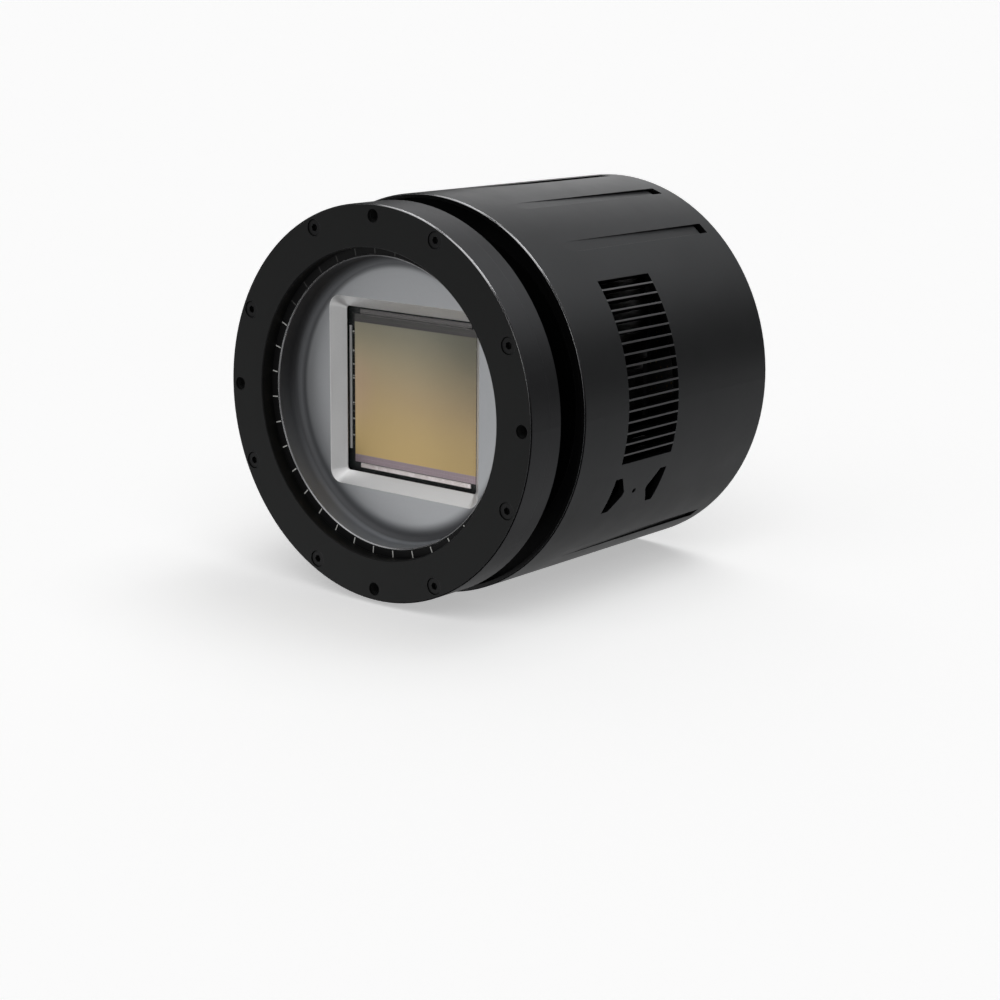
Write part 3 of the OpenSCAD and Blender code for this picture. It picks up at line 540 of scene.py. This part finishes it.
# Look of each material slot in the record. After the name and tint come the roughness and, for the
# anodised looks, the metallic share and the specular level.
LOOKS = {
    "flange_black": anodised("flange_anodised", (0.0145, 0.015, 0.015), 0.5, 0.4, 0.2, wear=0.25,
                             side=FLANGE_SIDE, cut=FLANGE_CUT),
    "ring_black": anodised("ring_anodised", (0.0065, 0.0065, 0.0068), 0.6, 0.0, 0.15, wear=0.05),
    "neck_black": anodised("neck_anodised", INNER_BLACK_AND_SHADE, 0.6, 0.1, 0.15, wear=0.1, side=NECK_SIDE),
    "body_anodised": anodised("body_anodised", body_tint, 0.40, 0.75, 0.5, wear=0.5, cut=SHELL_CUT),
    "screw_black": anodised("screw_oxide", (0.012, 0.012, 0.0125), 0.42, 0.5, 0.25, wear=0.12),
    "satin_aluminium": anodised("chamber_satin", chamber_tint, chamber_gloss, 0.9, 0.5, wear=0.3,
                                clouds=0.03, bare=(0.6, 0.6, 0.6)),
    # Heat sink drawn near black: painted shade inside the body
    "sink_aluminium": anodised("sink_shade_black", INNER_BLACK_AND_SHADE, 0.6, 0.1, 0.15, wear=0.03),
    "steel": bare_metal("steel", (0.50, 0.50, 0.51), 0.32),
    "bearing_steel": bare_metal("bearing_steel", (0.62, 0.62, 0.63), 0.18),
    "socket_metal": bare_metal("socket_nickel", (0.55, 0.54, 0.52), 0.25),
    "gold_brass": bare_metal("socket_gold", (0.80, 0.58, 0.25), 0.22, tarnish=(0.45, 0.28, 0.1)),
    "brass": bare_metal("brass", (0.62, 0.46, 0.2), 0.3, tarnish=(0.3, 0.2, 0.08)),
    "copper": bare_metal("copper", (0.72, 0.36, 0.2), 0.3, tarnish=(0.3, 0.12, 0.06), stain=0.3),
    "pellet_grey": bare_metal("pellet", (0.22, 0.22, 0.23), 0.5),
    "gold_pads": pad_surface(),
    "mark_white": mark_paint(),
    "black_rubber": moulded("black_rubber", (0.015, 0.015, 0.015), 0.75, 700.0),
    "foam": moulded("foam", (0.03, 0.03, 0.03), 0.9, 450.0, 0.3 * MM),
    "black_ceramic": moulded("black_ceramic", (0.012, 0.012, 0.013), 0.5, 2000.0, 0.01 * MM),
    "white_ceramic": moulded("white_ceramic", (0.78, 0.77, 0.74), 0.5, 1800.0, 0.01 * MM),
    "black_plastic": moulded("black_plastic", (0.02, 0.02, 0.022), 0.55),
    "chip_plastic": moulded("chip_plastic", (0.018, 0.018, 0.02), 0.6, 1600.0),
    "fan_plastic": moulded("fan_plastic", (0.012, 0.012, 0.013), 0.5, 1100.0),
    "nylon": moulded("nylon", (0.66, 0.63, 0.55), 0.5, 600.0),
    "graphite": moulded("graphite", (0.1, 0.1, 0.105), 0.5, 400.0),
    "flex_film": moulded("flex_film", (0.42, 0.17, 0.03), 0.3, 300.0),
    "cable_grey": ribbon_surface(),
    "circuit_board": circuit_surface(),
    "bond_ceramic": bond_surface(),
    "sensor_gold": sensor_surface(),
    "window_glass": window_coating(),
    "lamp_green": lamp_surface(),
}


def dress_cad():
    """Gives every CAD node the look of its slot in the record."""
    for row in frame["record"]["subparts"]:
        data = frame["nodes"][row["node"]].data
        data.materials.clear()
        data.materials.append(LOOKS[row["material_slot"]])


# --- Mesh pieces ------------------------------------------------------------------------------------

def piece(name, mesh_builder, slot, body="camera", smooth_angle=35):
    """New object from a function that fills a bmesh; it gets the slot's look and rides on body."""
    bm = bmesh.new()
    mesh_builder(bm)
    bmesh.ops.recalc_face_normals(bm, faces=bm.faces)
    mesh = bpy.data.meshes.new(name)
    bm.to_mesh(mesh)
    bm.free()
    obj = bpy.data.objects.new(name, mesh)
    bpy.context.scene.collection.objects.link(obj)
    mesh.materials.append(LOOKS[slot])
    mesh.shade_smooth()
    mesh.set_sharp_from_angle(angle=math.radians(smooth_angle))
    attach(obj, body)
    return obj


def skin(bm, rows, close_rows=False):
    """Quads between successive rows of points, each row closed on itself."""
    verts = [[bm.verts.new(p) for p in row] for row in rows]
    row_pairs = len(rows) if close_rows else len(rows) - 1
    for i in range(row_pairs):
        low, high = verts[i], verts[(i + 1) % len(rows)]
        for j in range(len(low)):
            k = (j + 1) % len(low)
            bm.faces.new((low[j], low[k], high[k], high[j]))
    return verts


def spread(count, pitch):
    """Places of count items at an even pitch, centred on 0."""
    return [(i - (count - 1) / 2) * pitch for i in range(count)]


def on_circle(radius, angle, y):
    return Vector((radius * math.cos(angle), y, radius * math.sin(angle)))


def thread_surface(bm, centre, r_low, r_high, pitch, y0, y1, columns=40):
    """Round surface whose radius follows a helical V profile between r_low and r_high."""
    steps = 6
    count = max(2, round((y1 - y0) / pitch * steps))
    rows = []
    for i in range(count + 1):
        y = y0 + (y1 - y0) * i / count
        fade = min(1.0, i / steps, (count - i) / steps)
        row = []
        for j in range(columns):
            turn = j / columns
            phase = ((y - y0) / pitch - turn) % 1.0
            crest = 1.0 - abs(2.0 * phase - 1.0)
            radius = r_low + (r_high - r_low) * crest * fade
            row.append(centre + on_circle(radius, 2 * math.pi * turn, y))
        rows.append(row)
    skin(bm, rows)


def mount_threads(bm):
    """Threads inside the four tapped holes of the front flange."""
    low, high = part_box("front_flange")
    spec = next(m for m in frame["record"]["mounts"] if m["kind"] == "bolt_pattern")["dims"]
    hole_r = spec["hole_r_mm"] * MM
    for quarter in range(4):
        centre = on_circle(spec["pcd_mm"] / 2 * MM, quarter * math.pi / 2, 0.0)
        thread_surface(bm, centre, hole_r - 0.02 * MM, hole_r - 0.42 * MM, 1.0 * MM,
                       low.y + 0.5 * MM, high.y - 0.2 * MM, columns=32)


def socket_centre(node):
    """Centre in X and Z, and radius, of a node that is one round socket."""
    low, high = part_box(node)
    return Vector(((low.x + high.x) / 2, 0.0, (low.z + high.z) / 2)), (high.x - low.x) / 2


def socket_threads(bm):
    """Coupling threads on the barrels of the two round sockets."""
    for node in ("power_socket", "aux_socket"):
        centre, r = socket_centre(node)
        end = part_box(node)[1].y
        thread_surface(bm, centre, r + 0.01 * MM, r + 0.32 * MM, 0.75 * MM,
                       COVER_BACK + 0.1 * MM, end - 0.3 * MM)


def sync_threads(bm):
    """Coupling threads on the two small coaxial sockets."""
    low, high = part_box("sync_sockets")
    r = (high.x - low.x) / 2
    for z in (low.z + r, high.z - r):
        centre = Vector(((low.x + high.x) / 2, 0.0, z))
        thread_surface(bm, centre, r + 0.01 * MM, r + 0.25 * MM, 0.7 * MM,
                       COVER_BACK + 0.3 * MM, high.y - 0.3 * MM)


def socket_nuts(bm):
    """Thin hexagonal nuts with rounded corners at the foot of the round sockets."""
    columns = 72
    for node in ("power_socket", "aux_socket"):
        centre, r = socket_centre(node)
        inner, outer = r + 0.05 * MM, r + 1.5 * MM
        y0, y1 = COVER_BACK, COVER_BACK + 1.1 * MM
        profile = [(inner, y0, False), (outer, y0, True), (outer, y1 - 0.3 * MM, True),
                   (outer - 0.3 * MM, y1, True), (inner, y1, False)]
        rows = []
        for radius, y, is_hex in profile:
            row = []
            for j in range(columns):
                a = 2 * math.pi * j / columns
                sector = (a % (math.pi / 3)) - math.pi / 6
                flat = radius * math.cos(math.pi / 6) / math.cos(sector)
                # A circle of nearly the corner radius rounds the hexagon's corners
                reach = min(flat * 1.08, radius * 1.03) if is_hex else radius
                row.append(centre + on_circle(reach, a, y))
            rows.append(row)
        skin(bm, rows, close_rows=True)


# Turn of the fan at rest, in radians: no gap between blades lines up with the vents in the view
FAN_REST_TURN = 0.58
FAN_BLADES = 7
HUB_R = 20 * MM


def fan_wheel(bm):
    """Fan hub with a rounded rim, and swept blades with an aerofoil thickness."""
    low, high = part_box("fan_rotor")
    shaft_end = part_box("fan_shaft")[1]
    tip_r = min(high.x, (high.z - low.z) / 2)
    skirt_r = HUB_R - 1.8 * MM
    boss_r = 3.2 * MM
    bore_r = shaft_end.x + 0.02 * MM
    centre_r = 0.02 * MM
    y_bore = shaft_end.y + 0.05 * MM
    y_cap = high.y - 1.6 * MM
    y_dimple = y_cap - 0.35 * MM
    y_inside = y_cap - 3.0 * MM
    y_boss = y_cap - 3.8 * MM
    hub = [(skirt_r, low.y), (HUB_R, low.y), (HUB_R, y_cap - 2.5 * MM),
           (HUB_R - 0.4 * MM, y_cap - 1.2 * MM), (HUB_R - 1.3 * MM, y_cap - 0.35 * MM),
           (HUB_R - 2.6 * MM, y_cap), (9.6 * MM, y_cap), (9.0 * MM, y_dimple), (centre_r, y_dimple),
           (centre_r, y_bore), (bore_r, y_bore), (bore_r, y_boss), (boss_r, y_boss),
           (boss_r, y_inside), (skirt_r, y_inside)]
    columns = 96
    rows = [[on_circle(r, 2 * math.pi * j / columns, y) for j in range(columns)] for r, y in hub]
    skin(bm, rows, close_rows=True)
    for blade in range(FAN_BLADES):
        start = FAN_REST_TURN + 2 * math.pi * blade / FAN_BLADES
        fan_blade(bm, start, HUB_R - 0.5 * MM, tip_r, low.y + 0.4 * MM, high.y - 0.2 * MM)


def fan_blade(bm, start, r0, r1, y_low, y_high):
    """One blade: its chord turns flatter and sweeps forward towards the tip."""
    spans = 14
    chords = 12
    middle = (y_low + y_high) / 2
    rows = []
    for i in range(spans + 1):
        s = i / spans
        r = r0 + (r1 - r0) * s
        pitch = math.radians(40 - 20 * s)
        half = (y_high - y_low) / 2 * (0.98 - 0.16 * s * s)
        sweep = 0.35 * s * s
        reach = half / math.tan(pitch) / r
        loop = []
        for side in (1, -1):
            steps = range(chords + 1) if side == 1 else range(chords - 1, 0, -1)
            for k in steps:
                c = k / chords
                bulge = math.sin(math.pi * c)
                camber = 0.10 * half * bulge
                thick = (0.5 * MM + 0.9 * MM * bulge ** 0.6) * (1 - 0.45 * s) / 2
                y = middle + half * (2 * c - 1) + side * thick * 0.4
                a = start + sweep + reach * (2 * c - 1) + (camber + side * thick) / r
                loop.append(on_circle(r, a, min(max(y, y_low), y_high)))
        rows.append(loop)
    verts = skin(bm, rows)
    bm.faces.new(verts[0])
    bm.faces.new(verts[-1])


def bond_wires(bm):
    """Fine arched wires from the die's edge to the strips above and below it, and to the side pads."""
    die_front = DIE_LOW.y
    strip_low, strip_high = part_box("bond_strips")
    strip_wires, strip_pitch = 110, 0.58 * MM
    pad_wires, pad_pitch = 44, 1.26 * MM
    fan_out = 1.005
    inset = 0.35 * MM
    arch = 0.28 * MM
    wire_r = 0.035 * MM
    steps = 6
    runs = []
    for side in (-1, 1):
        for x in spread(strip_wires, strip_pitch):
            runs.append((Vector((x, die_front, side * (DIE_HALF_H - inset))),
                         Vector((x * fan_out, strip_low.y, side * (strip_high.z - 1.4 * MM)))))
        for z in spread(pad_wires, pad_pitch):
            runs.append((Vector((side * (DIE_HALF_W - inset), die_front, z)),
                         Vector((side * (DIE_HALF_W + 1.1 * MM), PAD_FRONT, z))))
    up = Vector((0, -1, 0)) * wire_r
    for start, end in runs:
        runs_sideways = abs(start.x - end.x) > abs(start.z - end.z)
        across = (Vector((0, 0, 1)) if runs_sideways else Vector((1, 0, 0))) * wire_r
        rows = []
        for k in range(steps + 1):
            s = k / steps
            p = start.lerp(end, s)
            p.y -= arch * math.sin(math.pi * s)
            rows.append([p + across, p + up, p - across, p - up])
        skin(bm, rows)


def chip_legs(bm):
    """Rows of small contacts around the large chip on the main board."""
    board_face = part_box("main_board")[0].x
    legs, pitch = 22, 1.15 * MM
    height, width, length = 0.4 * MM, 0.45 * MM, 0.9 * MM
    for side in (-1, 1):
        for offset in spread(legs, pitch):
            for y, z, size in ((offset, side * CHIP_REACH, (height, width, length)),
                               (side * CHIP_REACH, offset, (height, length, width))):
                centre = Vector((board_face - height / 2, CHIP_DEPTH + y, z))
                for v in bmesh.ops.create_cube(bm, size=1.0)["verts"]:
                    v.co = centre + Vector(a * b for a, b in zip(v.co, size))


def build_pieces():
    piece("mount_threads", mount_threads, "flange_black")
    piece("socket_threads", socket_threads, "socket_metal")
    piece("sync_threads", sync_threads, "gold_brass")
    piece("socket_nuts", socket_nuts, "socket_metal")
    piece("bond_wires", bond_wires, "gold_pads")
    piece("chip_legs", chip_legs, "steel")
    wheel = piece("fan_wheel", fan_wheel, "fan_plastic", body="fan", smooth_angle=40)
    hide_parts("fan_rotor")


# --- Stage ------------------------------------------------------------------------------------------

# Camera of the view: direction and roll in degrees, distances in front flange radii, lens in mm
VIEW_AZIMUTH = 39.106
VIEW_ELEVATION = 13.502
VIEW_ROLL = 0.5756
VIEW_RIGHT = 0.6274
VIEW_DOWN = 0.4645
VIEW_BACK = 10.5255
VIEW_LENS = 76.48


def add_camera():
    az, el, roll = (math.radians(a) for a in (VIEW_AZIMUTH, VIEW_ELEVATION, VIEW_ROLL))
    back = Vector((math.sin(az) * math.cos(el), -math.cos(az) * math.cos(el), math.sin(el)))
    level = Vector((math.cos(az), math.sin(az), 0.0))
    upright = back.cross(level)
    right = level * math.cos(roll) + upright * math.sin(roll)
    up = upright * math.cos(roll) - level * math.sin(roll)
    data = bpy.data.cameras.new("view_camera")
    data.sensor_width = 36.0
    data.lens = VIEW_LENS
    data.clip_start = 0.05
    cam = bpy.data.objects.new("view_camera", data)
    place = (right * VIEW_RIGHT - up * VIEW_DOWN + back * VIEW_BACK) * FLANGE_R
    cam.matrix_world = Matrix.Translation(place) @ Matrix((right, up, back)).transposed().to_4x4()
    bpy.context.scene.collection.objects.link(cam)
    bpy.context.scene.camera = cam


def add_floor():
    """Plain pale floor just below the body shell; returns it."""
    bm = bmesh.new()
    z = CAD_BOX[0].z - 0.2 * MM
    reach = 300.0
    corners = ((-reach, -reach), (reach, -reach), (reach, reach), (-reach, reach))
    bm.faces.new([bm.verts.new((x, y, z)) for x, y in corners])
    mesh = bpy.data.meshes.new("floor")
    bm.to_mesh(mesh)
    bm.free()
    floor = bpy.data.objects.new("floor", mesh)
    bpy.context.scene.collection.objects.link(floor)
    g = Graph("floor_paper")
    tone = g.vary(0.86, 0.004, g.noise(3.0, 2.0))
    colour = g.node("CombineColor", {0: tone, 1: tone, 2: tone}).outputs[0]
    mesh.materials.append(g.surface(Base_Color=colour, Roughness=0.9, Specular_IOR_Level=0.0,
                                    Emission_Color=(1.0, 1.0, 1.0), Emission_Strength=FLOOR_GLOW))
    # Only the camera sees the floor; the light that it would bounce up has lights of its own
    for path in ("diffuse", "glossy", "transmission", "shadow"):
        setattr(floor, "visible_" + path, False)
    return floor


# Groups of soft lights far away: azimuths in degrees (0 is -Y, 90 is +X), then the elevation, angular
# width and strength that a group shares. Elevations below 0 stand for light bounced up by the floor.
OBJECT_LIGHTS = (
    ((0, 315, 135), 45, 45, 0.36),
    ((135, 225), 65, 30, 0.7),
    ((20, 200), 12, 40, 0.4),
    ((15, 330, 285), -25, 45, 0.45),
    ((150, 195), -25, 45, 0.15),
)
FLOOR_LIGHTS = (
    ((45,), 45, 45, 0.9),
    ((0, 225), 45, 45, 0.3),
    ((135, 180), 65, 30, 0.4),
)

# Glow of the floor, strength of the ambient light, and brightness of the backdrop
FLOOR_GLOW = 0.44
AMBIENT = 0.04
BACKDROP = 0.956


def soft_light(name, receivers, azimuth, elevation, width, strength):
    """Wide distant light, linked to the receivers collection."""
    a, e = math.radians(azimuth), math.radians(elevation)
    away = Vector((math.sin(a) * math.cos(e), -math.cos(a) * math.cos(e), math.sin(e)))
    data = bpy.data.lights.new(name, "SUN")
    data.angle = math.radians(width)
    data.energy = strength
    lamp = bpy.data.objects.new(name, data)
    lamp.rotation_mode = "QUATERNION"
    lamp.rotation_quaternion = away.to_track_quat("Z", "Y")
    bpy.context.scene.collection.objects.link(lamp)
    lamp.light_linking.receiver_collection = receivers


def add_light(floor):
    """Lights for the object, lights for the floor, and a faint even ambient light."""
    for name, state, lights in (("object_light", "EXCLUDE", OBJECT_LIGHTS),
                                ("floor_light", "INCLUDE", FLOOR_LIGHTS)):
        receivers = bpy.data.collections.new(name)
        receivers.objects.link(floor)
        receivers.collection_objects[0].light_linking.link_state = state
        for azimuths, elevation, width, strength in lights:
            for azimuth in azimuths:
                soft_light(f"{name}_{azimuth}_{elevation}", receivers, azimuth, elevation, width, strength)
    world = bpy.data.worlds.new("studio")
    world.use_nodes = True
    tree = world.node_tree
    tree.nodes.clear()
    seen = tree.nodes.new("ShaderNodeLightPath")
    strength = tree.nodes.new("ShaderNodeMapRange")
    strength.inputs[3].default_value = AMBIENT
    strength.inputs[4].default_value = BACKDROP
    shade = tree.nodes.new("ShaderNodeBackground")
    shade.inputs["Color"].default_value = (1.0, 1.0, 1.0, 1.0)
    out = tree.nodes.new("ShaderNodeOutputWorld")
    tree.links.new(seen.outputs["Is Camera Ray"], strength.inputs[0])
    tree.links.new(strength.outputs[0], shade.inputs["Strength"])
    tree.links.new(shade.outputs[0], out.inputs[0])
    bpy.context.scene.world = world
    bpy.context.scene.view_settings.view_transform = "Standard"


dress_cad()
build_pieces()
add_camera()
add_light(add_floor())
